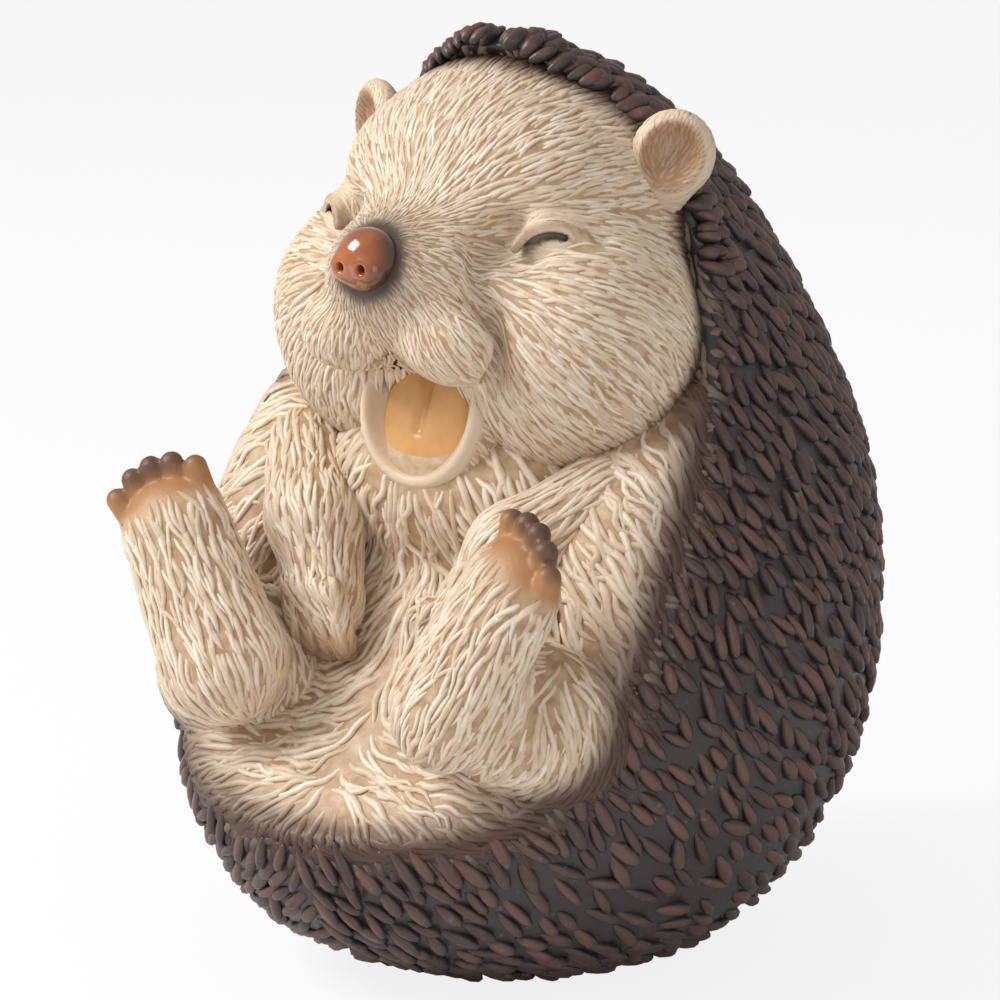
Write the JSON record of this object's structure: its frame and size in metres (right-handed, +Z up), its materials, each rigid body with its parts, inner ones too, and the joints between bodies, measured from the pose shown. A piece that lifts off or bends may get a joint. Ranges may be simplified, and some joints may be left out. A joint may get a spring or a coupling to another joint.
{
  "type": "hedgehog figurine",
  "caption": "Sitting hedgehog ornament: a hollow quilled coat around a furry belly, laughing head with round ears, raised hind legs and folded arms, resting on a flat padded base.",
  "frame": {"origin": "middle of the base, on the surface that the figurine stands on", "axes": "+Z up, -Y the way the figurine faces, +X towards its left side"},
  "size_m": [0.1246, 0.1433, 0.168],
  "materials": {
    "quill_brown": "matt painted resin with a dull sheen on the quill tips",
    "cream_fur": "matt painted resin, tan wash in the carved fur",
    "ear_cream": "matt painted resin",
    "nose_amber": "gloss varnish over amber brown paint",
    "mouth_tan": "satin painted resin",
    "pin_steel": "plain drawn rod",
    "plug_rubber": "matt",
    "base_felt_grey": "felt"
  },
  "bodies": {
    "root": {"quill_coat": "quill_brown", "belly": "cream_fur", "head": "cream_fur", "jaw": "cream_fur", "tongue": "mouth_tan", "nose": "nose_amber", "ear_left": "ear_cream", "ear_right": "ear_cream", "arm_left": "cream_fur", "arm_right": "cream_fur", "leg_left": "cream_fur", "leg_right": "cream_fur", "neck_dowel": "pin_steel", "arm_dowels": "pin_steel", "leg_dowels": "pin_steel", "base_plug": "plug_rubber", "base_felt": "base_felt_grey"}
  },
  "joints": []
}
